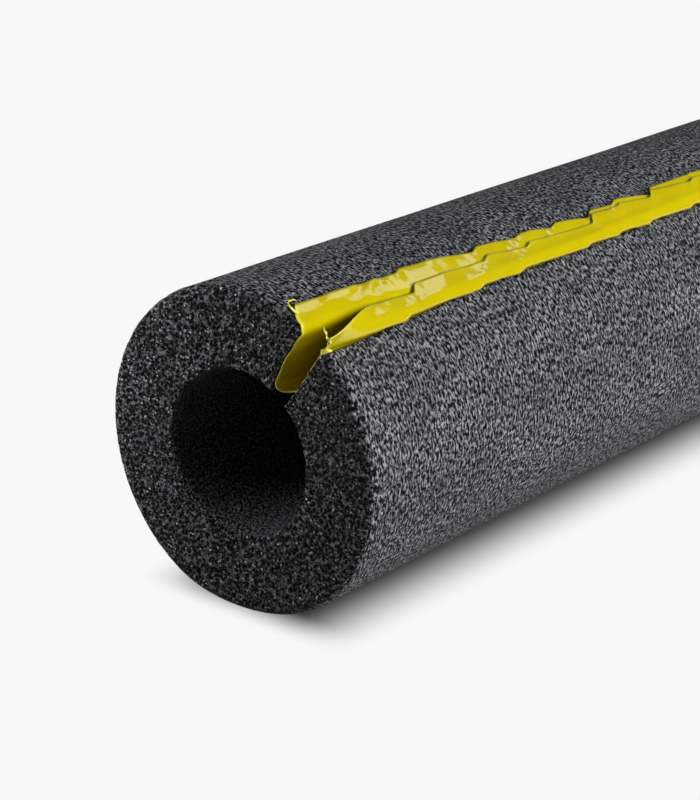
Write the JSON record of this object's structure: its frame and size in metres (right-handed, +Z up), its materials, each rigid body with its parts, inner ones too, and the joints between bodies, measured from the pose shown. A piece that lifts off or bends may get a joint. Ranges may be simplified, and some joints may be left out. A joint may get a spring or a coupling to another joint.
{
  "type": "polyethylene pipe insulation",
  "caption": "Stick of slit foam tube that insulates a water pipe, with a release liner folded out over the skin from each face of its slit.",
  "frame": {"origin": "on the floor under the middle of the stick, at the centre of the foot of its bounding box", "axes": "+X along the tube from the near end that the picture shows to the far end, +Z up; the slit is on the -Y side, 38 degrees from straight up"},
  "size_m": [0.914, 0.046, 0.046],
  "materials": {
    "polyethylene_foam": "charcoal closed-cell polyethylene foam, pebbled extruded skin and open-cell cut ends",
    "yellow_release_film": "thin crinkled yellow release film, glossy"
  },
  "bodies": {
    "root": {"foam_tube": "polyethylene_foam", "release_liner_upper": "yellow_release_film", "release_liner_lower": "yellow_release_film"}
  },
  "joints": []
}
